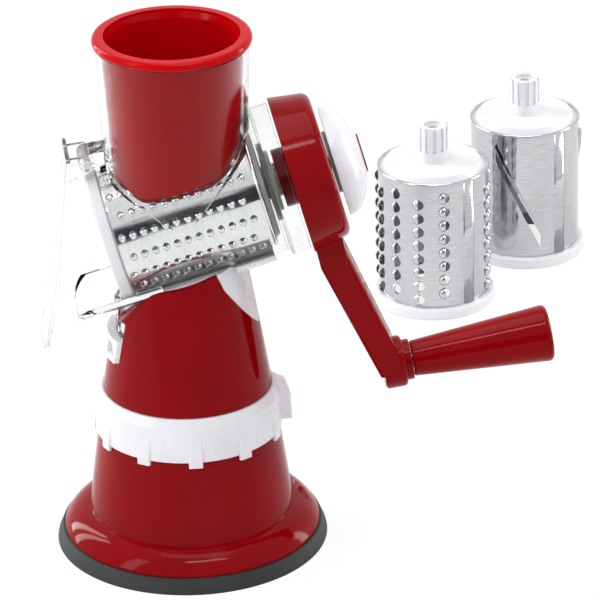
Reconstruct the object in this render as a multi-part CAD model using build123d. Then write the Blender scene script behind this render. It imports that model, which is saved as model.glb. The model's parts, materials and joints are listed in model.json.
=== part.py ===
from build123d import *
import math
import os

# A hand cranked drum shredder: a suction foot, a locking ring, a tilted drum in a clear
# housing with a feed tube, a crank, a pusher, and two spare drums that stand beside it.
# Millimetres, +Z up. The origin is the middle of the rubber disc's flat underside, and the
# drum's axis lies in the XZ plane and rises towards the crank, at +X.

# ---- fits and clearances
running_gap = 0.05           # radial, shaft in its bearing
moving_gap = 0.35            # between pieces that move past each other
screw_gap = 0.05
seat_gap = 0.05              # between pieces that are screwed or snapped together
cut_margin = 1.0             # how far a cut runs past the face that it opens

# ---- rubber disc and foot
cup_radius = 65.0
cup_top_radius = 62.4
cup_height = 7.0
cup_boss_radius = 14.0
cup_boss_height = 8.0
flange_radius = 61.2
flange_lip = 1.4
flange_rise = 10.5
flange_knee_in = 3.4
flange_knee_rise = 4.6
cone_foot_radius = 49.0
cone_slope = 0.139           # radius lost per millimetre of height
foot_wall = 3.0
foot_top = 60.0
neck_radius = 36.6
neck_top = 90.0
neck_deck = 3.0
neck_step = 0.8

# ---- locking ring
ring_height = 20.0
ring_radius = 44.5
ring_draft = 1.2
ring_skirt = 1.0             # how far the band hangs below the neck's step, round the cone
ring_rim = 0.9               # the band's top edge, beyond the tower
ring_shoulder = 4.5          # height over which the band's top rounds in to that edge
lug_count = 11
lug_first_angle = -91.6
lug_width = 6.6
lug_out = 0.8
lug_fade = 0.5               # how far a lug's top end sinks into the band
lug_round = 0.7
lug_root = 4.0
lug_drop = 3.6
ear_reach = 49.6
ear_top_reach = 46.6
ear_top_fall = 2.2
ear_top_flat = 1.0
ear_width = 8.0
ear_drop = 1.5
ear_step_height = 12.0
ear_step = 0.8
ear_round = 1.5

# ---- suction stem
stem_radius = 5.0
stem_foot_radius = 12.0
stem_foot_thickness = 2.6
stem_pin_radius = 2.0
stem_pin_height = 66.2
stem_lift = 4.0
ring_turn = 60.0
cam_depth = 3.4
cam_spare_angle = 6.0
cam_spare_height = 0.6
stem_end = 4.0               # how far it stands above the neck's deck

# ---- tower
tower_radius = 40.25
tower_slope = 0.165
tower_wall = 2.6
tower_cut_top = 150.0
web_bottom = 96.0
web_thickness = 3.0
web_bore_radius = 8.0
post_circle = 24.0
post_radius = 4.5
screw_radius = 1.75
screw_head_radius = 3.2
screw_head_height = 2.0
base_screw_grip = 8.0
cradle_screw_grip = 9.0

# ---- saddle and cut-outs at the tower's top
saddle_depth = 26.0
cradle_floor_depth = 30.0
cradle_wall = 3.4
chute_gap = 0.3
flare_wall = 3.0
flare_start = 16.0
flare_end = 35.0
flare_half_width = 24.0
left_cut_top = (-18.0, 138.0)
left_cut_middle = (-28.1, 126.0)
left_cut_foot = (-35.4, 111.2)
scoop_top = (12.6, 147.5)
scoop_knee = (16.4, 138.6)
scoop_foot = (37.0, 108.8)
scoop_seam = 0.1

# ---- drum axis
axis_height = 170.3
axis_tilt = 14.9

# ---- drum
drum_radius = 29.0
sheet_thickness = 0.6
tooth_height = 1.3
drum_mouth_end = -38.7
drum_far_end = 37.3
drum_ring_radius = 32.0
drum_ring_width = 6.0
drum_ring_bore = 27.6
drum_ring_lip = 1.5
cap_plug_depth = 3.0
cap_lid_height = 3.3
cap_lid_radius = 26.8
cap_lid_top_radius = 24.6
stub_radius = 8.0
stub_length = 19.6
journal_length = 6.0
spline_count = 12
spline_depth = 0.9
spline_width = 1.6
bolt_radius = 3.0
stub_mouth_radius = 4.8
stub_mouth_depth = 2.0

# ---- holes in the three drums
fine_rows = 18
fine_first_angle = -7.0
fine_columns = 12
fine_hole_radius = 1.35
fine_pitch = 5.3
coarse_columns = 12
coarse_first_angle = -23.4
coarse_column_angle = 27.0
coarse_rows = 8
coarse_hole_radius = 2.7
coarse_pitch = 7.8
slot_count = 3
slot_first_angle = 278.6
slot_rise = 50.0
slot_turn = -50.0
slot_height = 7.6
blade_height = 2.0
blade_out = 1.5
blade_overlap = 0.4

# ---- clear housing
barrel_gap = 0.9
clear_wall = 2.2
barrel_mouth_gap = 0.3
end_wall_gap = 1.4
end_wall = 2.4
collar_radius = 35.8
collar_width = 8.1
feed_centre = -2.0
feed_top = 254.0
feed_top_radius = 35.7
feed_draft = 0.031
tongue_reach = 29.5
tongue_start = -20.0
tongue_wall = 2.4
tongue_half_angle = 38.0
tongue_corner = 9.0
bush_wall = 3.9
bush_flange_radius = 14.5
bush_flange = 1.5
bush_lip = 0.6
barrel_seat_gap = 0.1
tongue_overlap = 0.4
tongue_side_margin = 3.0
tongue_corner_extra = 6.0
feed_root = 150.0

# ---- splash guard and its hinge
guard_pin_radius = 1.5
guard_pin_x = -44.0
guard_pin_z = 200.0
guard_lug_radius = 4.0
guard_lug_half_width = 7.0
guard_cheek = 2.5
guard_width = 30.0
guard_wall = 2.0
guard_top_x = -53.0
guard_top_z = 203.0
guard_bend_x = -58.6
guard_bend_z = 152.0
guard_tip_x = -67.0
guard_tip_z = 107.0
guard_bend_radius = 60.0
guard_tip_radius = 12.0
pin_overhang = 1.2
lug_arm_reach = 30.0         # from the feed tube's middle to the lug's root inside its wall
lug_arm_rise = 6.0
lug_arm_fall = 8.0
cheek_drop = 12.0

# ---- release button
button_half_width = 15.4
button_bottom = 100.0
button_top = 111.0
button_proud = 2.0
button_travel = 2.5
button_release_play = 0.5
button_recess_depth = 1.4
button_recess_inner = 4.6
button_recess_outer = 13.6
button_recess_half_height = 3.2
catch_thickness = 2.5
catch_half_width = 5.0
catch_x = -32.5
catch_bottom = 111.6
catch_top = 130.0
catch_side_gap = 1.0
catch_finger_gap = 0.6
finger_thickness = 2.4
finger_root = 6.0
bridge_height = 3.0
tower_notch_headroom = 9.0
cradle_notch_headroom = 2.0
tower_notch_reach = 24.0
cradle_notch_reach = 18.5
notch_floor = 0.6
nose_half_width = 3.0
nose_bottom = 114.2
nose_height = 2.6

# ---- crank
hub_start = 53.5
hub_radius = 37.8
hub_face_radius = 34.6
hub_depth = 19.0
hub_round = 4.5
hub_wall = 2.8
hub_boss_radius = 17.5
socket_radius = 14.0
socket_start = 47.6
socket_floor = 4.0
hub_boss_step = 2.0
arm_back_start = (16.0, 55.0)      # outline from the side: distance from the axis, place along it
arm_back_knee = (47.0, 53.7)
arm_back_end = 65.2
arm_front_end = 78.0
arm_front_knee = (38.0, 67.2)
arm_front_start = (16.0, 69.5)
arm_half_width = 13.4
arm_end_half_width = 12.3
arm_round = 3.0
boss_depth = 11.0
boss_round = 2.0
grip_centre_t = 78.3
grip_centre_drop = 110.6
grip_cant = 7.5
arm_collar_radius = 9.8
arm_collar_height = 3.2
arm_collar_root = 2.0
grip_gap = 0.4
grip_length = 67.5
grip_start_radius = 8.5
grip_end_radius = 13.8
grip_round = 2.5
grip_start_round = 1.0
grip_bore_radius = 4.0
grip_pocket_radius = 7.5
grip_pocket_depth = 12.0
plug_thickness = 2.4
plug_round = 0.5
axle_head_radius = 6.4
axle_head_height = 3.0
axle_screw_radius = 2.6
axle_screw_length = 9.0
axle_screw_spare = 0.6
axle_slot_width = 1.2
axle_slot_depth = 1.4
axle_head_play = 0.4

# ---- knob
knob_gap = 2.0
knob_radius = 26.4
knob_depth = 13.5
knob_neck_radius = 15.0
knob_neck_gap = 0.3
knob_edge = 0.8
knob_dome = ((0.79, 4.7), (0.535, 1.4))   # share of the radius, depth below the face
knob_pocket_inner = 16.0
knob_pocket_outer = 22.8
knob_pocket_depth = 6.5
knob_disc_radius = 9.2
knob_disc_thickness = 1.2
knob_disc_step = 0.6
knob_disc_proud = 0.7
bolt_hole_gap = 0.4
bolt_head_radius = 6.2
bolt_head_height = 4.0
bolt_reach = 14.0

# ---- pusher
rim_radius = 37.2
rim_height = 4.6
rim_opening = 31.8
rim_seat_gap = 0.3
rim_inner_drop = 1.2
pusher_gap = 0.45
pusher_draft = 0.058
pusher_wall = 2.2
pusher_floor = 2.6
pusher_saddle_depth = 21.5
pusher_drum_gap = 0.8
pusher_low = 180.0           # lower than the saddle that cuts its foot

# ---- spare drums, which stand on the table on their open ends
coarse_place = (154.0, 245.0)
slicer_place = (212.0, 300.0)

# ---- worked out from the sizes above
drum_place = Plane(
    origin=(0, 0, axis_height),
    x_dir=(-math.sin(math.radians(axis_tilt)), 0, math.cos(math.radians(axis_tilt))),
    z_dir=(math.cos(math.radians(axis_tilt)), 0, math.sin(math.radians(axis_tilt))),
).location
ring_bottom = foot_top + moving_gap
ring_top = ring_bottom + ring_height
tower_bottom = ring_top + moving_gap
barrel_bore = drum_radius + tooth_height + barrel_gap
barrel_radius = barrel_bore + clear_wall
barrel_mouth = drum_mouth_end + drum_ring_width + barrel_mouth_gap
lid_top = drum_far_end + cap_lid_height
wall_start = lid_top + end_wall_gap
wall_end = wall_start + end_wall
collar_end = wall_end + collar_width
stub_end = lid_top + stub_length
bush_radius = stub_radius + running_gap + bush_wall
socket_end = stub_end + socket_floor
hub_face = hub_start + hub_depth
knob_start = hub_face + knob_gap
knob_end = knob_start + knob_depth


def cone_radius(height):
    """Outer radius of the foot's cone at a height."""
    return cone_foot_radius - cone_slope * (height - cup_height - flange_rise)


def tower_outer(height):
    return tower_radius - tower_slope * (height - tower_bottom)


def feed_outer(height):
    return feed_top_radius - feed_draft * (feed_top - height)


def turned(outline):
    """A solid of revolution about Z from its half outline, a list of (radius, height)."""
    face = make_face(Plane.XZ * Polyline(*outline, close=True))
    return revolve(face, Axis.Z)


def disc(radius, bottom, top, at=(0, 0)):
    height = top - bottom
    return Pos(at[0], at[1], bottom) * extrude(Circle(radius), height)


def block(low, high):
    """A box given by its lowest and highest corners."""
    size = [b - a for a, b in zip(low, high)]
    middle = [(a + b) / 2 for a, b in zip(low, high)]
    return Pos(*middle) * Box(*size)


def side_prism(points, half_width):
    """An outline in the XZ plane, made into a slab across Y."""
    face = make_face(Plane.XZ * Polyline(*points, close=True))
    return extrude(face, half_width, both=True)


def helical_bar(inner, outer, height, start_angle, end_angle, start_z, end_z, steps=10):
    """A bar of rectangular section that climbs round the Z axis."""
    sections = []
    for step in range(steps + 1):
        share = step / steps
        angle = start_angle + share * (end_angle - start_angle)
        z = start_z + share * (end_z - start_z)
        plane = Plane(
            origin=(0, 0, z),
            x_dir=(math.cos(math.radians(angle)), math.sin(math.radians(angle)), 0),
            z_dir=(math.sin(math.radians(angle)), -math.cos(math.radians(angle)), 0),
        )
        middle = (inner + outer) / 2
        sections.append(plane * Pos(middle, 0) * Rectangle(outer - inner, height))
    return loft(sections, ruled=True)


def on_circle(angles, radius):
    places = []
    for angle in angles:
        turn = math.radians(angle)
        places.append((radius * math.cos(turn), radius * math.sin(turn)))
    return places


base_screw_places = on_circle((60, 180, 300), post_circle)
cradle_screw_places = on_circle((0, 120, 240), post_circle)


# ---- stand

def suction_cup():
    cup = turned([
        (0, 0), (cup_radius, 0), (cup_radius - 0.4, 2.0), (cup_top_radius, cup_height), (0, cup_height),
    ])
    boss = disc(cup_boss_radius, cup_height, cup_height + cup_boss_height)
    return cup + boss


def foot_outline(inset, bottom, top):
    """The foot's side: lip, domed flange, then cone, drawn inset from the outside."""
    lip_top = cup_height + flange_lip
    lip = Line((flange_radius - inset, bottom), (flange_radius - inset, lip_top))
    shoulder = (cone_foot_radius - inset, cup_height + flange_rise - inset)
    knee = (flange_radius - flange_knee_in - inset, lip_top + flange_knee_rise - inset * 0.8)
    dome = ThreePointArc(lip @ 1, knee, shoulder)
    cone = Line(dome @ 1, (cone_radius(top) - inset, top))
    return lip, dome, cone


def foot_body(inset, bottom, top):
    lip, dome, cone = foot_outline(inset, bottom, top)
    top_line = Line(cone @ 1, (0, top))
    middle = Line((0, top), (0, bottom))
    bottom_line = Line((0, bottom), lip @ 0)
    face = make_face(Plane.XZ * (lip + dome + cone + top_line + middle + bottom_line))
    return revolve(face, Axis.Z)


def base_shell():
    body = foot_body(0, cup_height, foot_top)
    hollow = foot_body(foot_wall, cup_height - 1, foot_top - foot_wall)
    neck = disc(neck_radius, foot_top - foot_wall, ring_top)
    neck_upper = disc(neck_radius - neck_step, ring_top - 1, neck_top)
    neck_hollow = disc(neck_radius - foot_wall, foot_top - foot_wall - 1, neck_top - neck_deck)
    shell = body - hollow + neck + neck_upper - neck_hollow
    shell -= disc(stem_radius + running_gap, neck_top - neck_deck - 1, neck_top + 1)
    slot_low = stem_pin_height - stem_pin_radius - moving_gap
    slot_high = stem_pin_height + stem_lift + stem_pin_radius + moving_gap
    slot_half = stem_pin_radius + moving_gap
    slot_reach = neck_radius + cut_margin
    shell -= block((-slot_half, -slot_reach, slot_low), (slot_half, slot_reach, slot_high))
    for place in base_screw_places:
        shell -= disc(screw_radius + screw_gap, neck_top - neck_deck - 1, neck_top + 1, place)
    return shell


def screws(places, head_top, grip):
    """Round-headed screws that go up from below, one solid each."""
    made = []
    for place in places:
        head = disc(screw_head_radius, head_top - screw_head_height, head_top, place)
        shank = disc(screw_radius, head_top, head_top + grip, place)
        made.append((head + shank).solid())
    return Compound(children=made)


def base_screws():
    return screws(base_screw_places, neck_top - neck_deck, base_screw_grip)


def cradle_screws():
    return screws(cradle_screw_places, web_bottom, cradle_screw_grip)


def outer_corners(piece, half_width, beyond):
    """The edges on a rib's two sides that face outwards and aren't level."""
    return piece.edges().filter_by(
        lambda edge: abs(edge.center().Y) > half_width - 0.01
        and edge.center().X > beyond and edge.bounding_box().size.Z > 1)


def ring_lug(shoulder):
    """A grip lug: proud below the band, and fading into it towards the band's shoulder."""
    root = ring_radius - lug_root
    lug = side_prism([
        (root, ring_bottom - lug_drop), (ring_radius + lug_out, ring_bottom - lug_drop),
        (ring_radius + lug_out, ring_bottom),
        (ring_radius - ring_draft - lug_fade, shoulder), (root, shoulder),
    ], lug_width / 2)
    return fillet(outer_corners(lug, lug_width / 2, root + 1), lug_round)


def ring_ear(rim_radius):
    """The larger ear that the hand turns the ring by."""
    root = ring_radius - lug_root
    ear = side_prism([
        (root, ring_bottom - ear_drop), (ear_reach, ring_bottom - ear_drop),
        (ear_reach - ear_step, ring_bottom + ear_step_height),
        (ear_top_reach, ring_top - ear_top_fall), (rim_radius + ear_top_flat, ring_top),
        (root, ring_top),
    ], ear_width / 2)
    return fillet(outer_corners(ear, ear_width / 2, root + 1), ear_round)


def lock_ring():
    skirt_bottom = ring_bottom - ring_skirt
    shoulder = ring_top - ring_shoulder
    rim_radius = tower_radius + ring_rim
    ring = turned([
        (0, skirt_bottom), (ring_radius, skirt_bottom), (ring_radius - ring_draft, shoulder),
        (rim_radius, ring_top), (0, ring_top),
    ])
    for number in range(lug_count):
        ring += Rot(0, 0, lug_first_angle + number * 360 / lug_count) * ring_lug(shoulder)
    ring += ring_ear(rim_radius)
    ring -= disc(neck_radius + moving_gap, ring_bottom, ring_top + 1)
    cone_low = ring_bottom - lug_drop - cut_margin
    clear_of_cone = turned([
        (0, cone_low), (cone_radius(cone_low) + moving_gap, cone_low),
        (cone_radius(ring_bottom) + moving_gap, ring_bottom), (0, ring_bottom),
    ])
    ring -= clear_of_cone
    spare_rise = cam_spare_angle * stem_lift / ring_turn
    for start in (90, 270):
        ring -= helical_bar(
            neck_radius - cut_margin, neck_radius + cam_depth + moving_gap,
            2 * (stem_pin_radius + moving_gap) + cam_spare_height,
            start + cam_spare_angle, start - ring_turn - cam_spare_angle,
            stem_pin_height - spare_rise, stem_pin_height + stem_lift + spare_rise,
        )
    return ring


def suction_stem():
    foot_z = cup_height + cup_boss_height + moving_gap
    stem = disc(stem_foot_radius, foot_z, foot_z + stem_foot_thickness)
    stem += disc(stem_radius, foot_z, neck_top + stem_end)
    hole = Pos(0, 0, stem_pin_height) * Rot(90, 0, 0) * Cylinder(stem_pin_radius, 4 * stem_radius)
    return stem - hole


def stem_pin():
    half_length = neck_radius + cam_depth
    return Pos(0, 0, stem_pin_height) * Rot(90, 0, 0) * Cylinder(stem_pin_radius, 2 * half_length)


# ---- tower and cradle

def above_saddle(depth):
    """All of the space above a plane along the drum's axis, a depth below it."""
    return drum_place * block((-depth, -90, -120), (200, 90, 120))


def red_cut_left():
    """The tower's top edge falls away in a curve below the chute."""
    arc = ThreePointArc(left_cut_top, left_cut_middle, left_cut_foot)
    edge = Polyline(
        left_cut_foot, (-70, left_cut_foot[1]), (-70, 170), (left_cut_top[0], 170), left_cut_top)
    face = make_face(Plane.XZ * (arc + edge))
    return extrude(face, 60, both=True)


def red_scoop(shift=0.0):
    """The crank side of the tower's top, where the white cradle shows."""
    return side_prism([
        (scoop_top[0] + shift, 175), (scoop_top[0] + shift, scoop_top[1]),
        (scoop_knee[0] + shift, scoop_knee[1]), (scoop_foot[0] + shift, scoop_foot[1]),
        (70, scoop_foot[1]), (70, 175),
    ], 60)


def notch(side, low, high, reach):
    """The space that the release button and the housing's catch need on the left."""
    return block((-70, -side, low), (-reach, side, high))


def tower_shell():
    shell = turned([
        (0, tower_bottom), (tower_radius, tower_bottom),
        (tower_outer(tower_cut_top), tower_cut_top), (0, tower_cut_top),
    ])
    inner_low = tower_outer(tower_bottom) - tower_wall
    inner_high = tower_outer(tower_cut_top) - tower_wall
    shell -= turned([
        (0, tower_bottom - 1), (inner_low + tower_slope, tower_bottom - 1),
        (inner_high - tower_slope, tower_cut_top + 1), (0, tower_cut_top + 1),
    ])
    shell -= above_saddle(saddle_depth)
    shell -= drum_place * disc(barrel_radius + tongue_wall + chute_gap, -90, 60)
    shell -= red_cut_left()
    shell -= red_scoop()
    web = disc(tower_outer(web_bottom) - tower_wall / 2, web_bottom, web_bottom + web_thickness)
    web -= disc(web_bore_radius, web_bottom - 1, web_bottom + web_thickness + 1)
    for place in base_screw_places:
        web += disc(post_radius, neck_top, web_bottom, place)
        web -= disc(screw_radius + screw_gap, neck_top - 1, neck_top + base_screw_grip - neck_deck + 1, place)
    for place in cradle_screw_places:
        web -= disc(screw_radius + screw_gap, web_bottom - 1, web_bottom + web_thickness + 1, place)
    shell += web
    opening_bottom = button_bottom - moving_gap
    opening_top = button_top + tower_notch_headroom
    catch_side = catch_half_width + catch_side_gap
    shell -= notch(button_half_width + moving_gap, opening_bottom, opening_top, tower_notch_reach)
    shell -= notch(catch_side, opening_bottom, catch_top + 5 * cut_margin, tower_notch_reach)
    return shell


def barrel_cradle():
    floor = web_bottom + web_thickness
    inside = tower_wall + seat_gap
    body = turned([
        (0, floor), (tower_outer(floor) - inside, floor),
        (tower_outer(tower_cut_top) - inside, tower_cut_top), (0, tower_cut_top),
    ])
    flush = turned([
        (0, floor), (tower_outer(floor), floor),
        (tower_outer(tower_cut_top), tower_cut_top), (0, tower_cut_top),
    ])
    body += flush & red_scoop(scoop_seam)
    hollow_wall = tower_wall + clear_wall
    hollow = turned([
        (0, floor - 1), (tower_outer(floor) - hollow_wall, floor - 1),
        (tower_outer(tower_cut_top) - hollow_wall, tower_cut_top), (0, tower_cut_top),
    ])
    hollow -= drum_place * disc(barrel_radius + cradle_wall, -90, 90)
    hollow -= above_saddle(cradle_floor_depth)
    posts = disc(post_radius, floor, tower_cut_top, cradle_screw_places[0])
    for place in cradle_screw_places[1:]:
        posts += disc(post_radius, floor, tower_cut_top, place)
    body -= hollow - posts
    flare = disc(barrel_radius + flare_wall, flare_start, flare_end)
    flare = flare & block((-60, -flare_half_width, 0), (-saddle_depth, flare_half_width, 60))
    body += drum_place * flare
    body -= above_saddle(saddle_depth)
    body -= drum_place * disc(barrel_radius + barrel_seat_gap, -60, wall_end + 20)
    body -= drum_place * disc(barrel_radius + tongue_wall + chute_gap, -90, tongue_start + cut_margin)
    body -= red_cut_left()
    notch_low = floor + notch_floor
    notch_top = button_top + cradle_notch_headroom
    body -= notch(button_half_width + moving_gap, notch_low, notch_top, cradle_notch_reach)
    body -= notch(catch_half_width + catch_side_gap, notch_low, catch_top, cradle_notch_reach)
    for place in cradle_screw_places:
        body -= disc(screw_radius + screw_gap, floor - 1, web_bottom + cradle_screw_grip + 1, place)
    return body


def release_button():
    outer = turned([
        (0, button_bottom), (tower_outer(button_bottom) + button_proud, button_bottom),
        (tower_outer(button_top) + button_proud, button_top), (0, button_top),
    ])
    inner = turned([
        (0, button_bottom - 1), (tower_outer(button_bottom) - tower_wall, button_bottom - 1),
        (tower_outer(button_top) - tower_wall, button_top + 1), (0, button_top + 1),
    ])
    pad = (outer - inner) & block((-60, -button_half_width, 90), (-20, button_half_width, 120))
    middle = (button_bottom + button_top) / 2
    reach = tower_outer(middle) + button_proud
    recess_middle = (button_recess_inner + button_recess_outer) / 2
    inside = math.sqrt(reach ** 2 - recess_middle ** 2) - button_recess_depth
    recess_low = middle - button_recess_half_height
    recess_high = middle + button_recess_half_height
    for side in (-1, 1):
        low, high = sorted((side * button_recess_inner, side * button_recess_outer))
        pad -= block((-60, low, recess_low), (-inside, high, recess_high))
    finger_x = catch_x + catch_thickness + catch_finger_gap
    finger_back = finger_x + finger_thickness
    root = button_top - finger_root
    nose_reach = button_travel - button_release_play
    finger_top = nose_bottom + nose_height
    finger = block((finger_x, -nose_half_width, root), (finger_back, nose_half_width, finger_top))
    bridge = block(
        (-tower_outer(button_top) + cut_margin, -nose_half_width, root),
        (finger_back, nose_half_width, root + bridge_height),
    )
    nose = block(
        (finger_x - nose_reach, -nose_half_width, nose_bottom),
        (finger_x, nose_half_width, nose_bottom + nose_height),
    )
    return pad + bridge + finger + nose


# ---- clear housing

def tongue():
    """A tray below the barrel's mouth, which leads the shreds out."""
    start = tongue_start
    end = barrel_mouth - tongue_reach
    inner = barrel_radius - tongue_overlap
    tray = disc(barrel_radius + tongue_wall, end, start) - disc(inner, end - 1, start + 1)
    half = tongue_half_angle
    reach = 80
    wedge = make_face(Polyline(
        (0, 0),
        (-reach * math.cos(math.radians(half)), reach * math.sin(math.radians(half))),
        (-reach * 1.6, 0),
        (-reach * math.cos(math.radians(half)), -reach * math.sin(math.radians(half))),
        close=True,
    ))
    tray = tray & Pos(0, 0, end - 1) * extrude(wedge, start - end + 2)
    half_width = barrel_radius * math.sin(math.radians(half)) + tongue_side_margin
    plan = Pos(0, 0, (start + end) / 2) * Rot(0, 90, 0) * RectangleRounded(
        start - end + 2 * tongue_corner, 2 * half_width, tongue_corner + tongue_corner_extra)
    plan = Pos(0, 0, tongue_corner) * plan
    return tray & extrude(plan, 60, both=True)


def guard_hinge_lug():
    lug = Rot(90, 0, 0) * Cylinder(guard_lug_radius, 2 * guard_lug_half_width)
    lug = Pos(guard_pin_x, 0, guard_pin_z) * lug
    root = feed_centre - lug_arm_reach
    arm = side_prism([
        (guard_pin_x - 1, guard_pin_z + guard_lug_radius - 0.1), (root, guard_pin_z + lug_arm_rise),
        (root, guard_pin_z - lug_arm_fall), (guard_pin_x + 2.5, guard_pin_z - guard_lug_radius + 0.9),
    ], guard_lug_half_width)
    hole = Pos(guard_pin_x, 0, guard_pin_z) * Rot(90, 0, 0) * Cylinder(guard_pin_radius, 60)
    return lug + arm, hole


def barrel_housing():
    barrel = disc(barrel_radius, barrel_mouth, wall_end)
    collar = disc(collar_radius, wall_end - 1.0, collar_end)
    body = drum_place * (barrel + collar + tongue())
    feed = Pos(feed_centre, 0, 0) * turned([
        (0, feed_root), (feed_outer(feed_root), feed_root), (feed_top_radius, feed_top), (0, feed_top),
    ])
    feed -= drum_place * block((-120, -80, -120), (0, 80, 120))
    lug, lug_hole = guard_hinge_lug()
    body = body + feed + lug
    catch = block(
        (catch_x, -catch_half_width, catch_bottom), (catch_x + catch_thickness, catch_half_width, catch_top))
    catch -= drum_place * disc(barrel_radius + tongue_wall - 1, -90, 60)
    body += catch
    window_side = nose_half_width + moving_gap
    body -= block(
        (catch_x - cut_margin, -window_side, nose_bottom - moving_gap),
        (catch_x + catch_thickness + cut_margin, window_side, nose_bottom + nose_height + moving_gap),
    )
    body -= drum_place * disc(barrel_bore, barrel_mouth - 1, wall_start)
    body -= drum_place * disc(barrel_radius - tongue_overlap, barrel_mouth - 60, barrel_mouth)
    body -= drum_place * disc(collar_radius - clear_wall, wall_end, collar_end + 1)
    body -= drum_place * disc(bush_radius, wall_start - 1, wall_end + 1)
    root_bore = feed_outer(feed_root) - clear_wall
    top_bore = feed_top_radius - clear_wall
    bore = Pos(feed_centre, 0, 0) * turned([
        (0, feed_root), (root_bore, feed_root), (top_bore, feed_top),
        (top_bore, feed_top + cut_margin), (0, feed_top + cut_margin),
    ])
    body -= bore - drum_place * block((-120, -80, -120), (0, 80, 120))
    return body - lug_hole


def drum_bush():
    bush = disc(bush_radius, wall_start - bush_lip, wall_end)
    bush += disc(bush_flange_radius, wall_end, wall_end + bush_flange)
    bush -= disc(stub_radius + running_gap, wall_start - 2, wall_end + bush_flange + 1)
    return drum_place * bush


def guard_pin():
    half = guard_lug_half_width + moving_gap + guard_cheek + pin_overhang
    return Pos(guard_pin_x, 0, guard_pin_z) * Rot(90, 0, 0) * Cylinder(guard_pin_radius, 2 * half)


def splash_guard():
    path = FilletPolyline(
        (guard_top_x, guard_top_z), (guard_bend_x, guard_bend_z), (guard_tip_x, guard_tip_z),
        radius=guard_bend_radius,
    )
    back = offset(Plane.XZ * path, guard_wall / 2, kind=Kind.ARC, side=Side.BOTH)
    strap = extrude(make_face(back), guard_width / 2, both=True)
    strap = strap & tip_shape()
    strap -= block((-80, -80, guard_tip_z - 20), (-40, 80, guard_tip_z))
    cheeks = None
    inner = guard_lug_half_width + moving_gap
    for side in (-1, 1):
        outline = make_face(Plane.XZ * Polyline(
            (guard_top_x - 0.6, guard_top_z), (guard_pin_x, guard_pin_z + guard_lug_radius),
            (guard_pin_x + guard_lug_radius - 0.6, guard_pin_z - 1),
            (guard_pin_x, guard_pin_z - guard_lug_radius),
            (guard_top_x - 1.4, guard_top_z - cheek_drop), close=True))
        plate = extrude(outline, guard_cheek)
        low = inner if side > 0 else -inner - guard_cheek
        plate = Pos(0, low - plate.bounding_box().min.Y, 0) * plate
        cheeks = plate if cheeks is None else cheeks + plate
    guard = strap + cheeks
    hole = Pos(guard_pin_x, 0, guard_pin_z) * Rot(90, 0, 0) * Cylinder(guard_pin_radius + running_gap, 60)
    return guard - hole


def tip_shape():
    """Seen from the front, the strap's lower corners are round."""
    low = guard_tip_z - 1
    face = Pos(0, (low + 230) / 2) * RectangleRounded(guard_width, 230 - low, guard_tip_radius)
    front = Plane.YZ * face
    return extrude(front, 120, both=True)


# ---- drums, drawn along Z with the open end at z = 0

drum_length = drum_far_end - drum_mouth_end
sheet_start = drum_ring_lip


def plain_sheet():
    outer = disc(drum_radius, sheet_start, drum_length)
    return outer - disc(drum_radius - sheet_thickness, sheet_start - 1, drum_length + 1)


def round_holes(radius, spots):
    """Radial drills at (angle, height)."""
    drills = []
    for angle, height in spots:
        drill = Pos(drum_radius - 3, 0, height) * Rot(0, 90, 0) * extrude(Circle(radius), 6)
        drills.append(Rot(0, 0, angle) * drill)
    return drills


def fine_spots():
    spots = []
    length = (fine_columns - 1) * fine_pitch
    middle = (drum_ring_width + drum_length - cap_plug_depth) / 2
    for row in range(fine_rows):
        shift = fine_pitch / 4 if row % 2 else -fine_pitch / 4
        for column in range(fine_columns):
            angle = fine_first_angle + row * 360 / fine_rows
            spots.append((angle, middle - length / 2 + column * fine_pitch + shift))
    return spots


def coarse_spots():
    spots = []
    length = (coarse_rows - 1) * coarse_pitch
    middle = (drum_ring_width + drum_length - cap_plug_depth) / 2
    for column in range(coarse_columns):
        shift = coarse_pitch / 4 if column % 2 else -coarse_pitch / 4
        for row in range(coarse_rows):
            angle = coarse_first_angle + column * coarse_column_angle
            spots.append((angle, middle - length / 2 + row * coarse_pitch + shift))
    return spots


def fine_sheet():
    return plain_sheet() - round_holes(fine_hole_radius, fine_spots())


def coarse_sheet():
    return plain_sheet() - round_holes(coarse_hole_radius, coarse_spots())


def slicer_sheet():
    sheet = plain_sheet()
    middle = (drum_ring_width + drum_length - cap_plug_depth) / 2
    low = middle - slot_rise / 2
    high = middle + slot_rise / 2
    inner = drum_radius - sheet_thickness
    for number in range(slot_count):
        start = slot_first_angle + number * 360 / slot_count
        end = start + slot_turn
        sheet -= helical_bar(inner - 1, drum_radius + 1, slot_height, start, end, low, high)
        lip = (slot_height + blade_height) / 2 - blade_overlap
        sheet += helical_bar(
            inner + 0.1, drum_radius + blade_out, blade_height, start, end, low + lip, high + lip)
    return sheet


def drum_ring():
    ring = disc(drum_ring_radius, 0, drum_ring_width) - disc(drum_ring_bore, -1, drum_ring_width + 1)
    ring = fillet(ring.edges().filter_by(GeomType.CIRCLE).sort_by(SortBy.RADIUS)[-2:], 1.2)
    groove = disc(drum_radius, sheet_start, drum_ring_width + 1)
    groove -= disc(drum_radius - sheet_thickness, sheet_start - 1, drum_ring_width + 2)
    return ring - groove


def stub_grooves(extra):
    grooves = []
    start = journal_length + drum_length + cap_lid_height
    for number in range(spline_count):
        groove = block(
            (stub_radius - spline_depth + extra, -spline_width / 2 + extra, start),
            (stub_radius + 3, spline_width / 2 - extra, start + stub_length),
        )
        grooves.append(Rot(0, 0, number * 360 / spline_count) * groove)
    return grooves


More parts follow.
